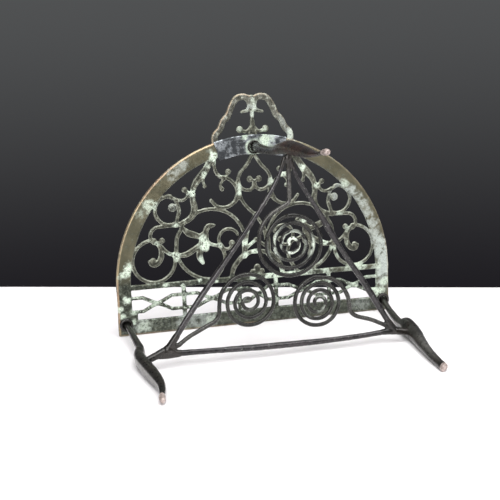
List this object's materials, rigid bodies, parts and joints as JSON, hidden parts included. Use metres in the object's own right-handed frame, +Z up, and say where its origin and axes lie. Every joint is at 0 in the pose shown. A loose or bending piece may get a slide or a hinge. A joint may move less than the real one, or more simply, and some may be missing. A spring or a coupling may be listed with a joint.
{
  "type": "bible stand",
  "caption": "Pierced brass arched plate with scrollwork and crest on forged cabriole legs, tied by a wrought stretcher with wire spirals; holds a book or vessel.",
  "frame": {"origin": "centre of the bounding box's footprint, on the floor", "axes": "+Z up, +X along the plate's straight lower edge, legs towards -Y, plate's front face towards +Y, leaning back about 2.5 degrees"},
  "size_m": [0.3324, 0.23, 0.2674],
  "materials": {
    "brass_casting": "dark olive-brown patina with pale verdigris patches, rubbed golden edge",
    "leaden_pad": "dull grey leaden surface with pale green seam",
    "dark_iron": "blackened forged iron, waxed",
    "brown_iron": "reddish brown forged iron, waxed",
    "rod_iron": "dark purple-grey wrought iron with rubbed highlights",
    "wire_iron": "dark grey-brown wire with greenish white specks",
    "pale_tip": "bare pinkish metal, dull polish"
  },
  "bodies": {
    "root": {"pierced_plate": "brass_casting", "pad_top": "leaden_pad", "collar_left": "dark_iron", "collar_right": "dark_iron", "collar_top": "dark_iron", "leg_left": "dark_iron", "leg_right": "dark_iron", "lug_left": "dark_iron", "lug_right": "dark_iron", "lug_top": "dark_iron", "leg_top": "brown_iron", "rod_left": "rod_iron", "rod_right": "rod_iron", "rod_bottom": "rod_iron", "spiral_left": "wire_iron", "spiral_right": "wire_iron", "spiral_top": "wire_iron", "toe_left": "pale_tip", "toe_right": "pale_tip", "toe_top": "pale_tip"}
  },
  "joints": []
}
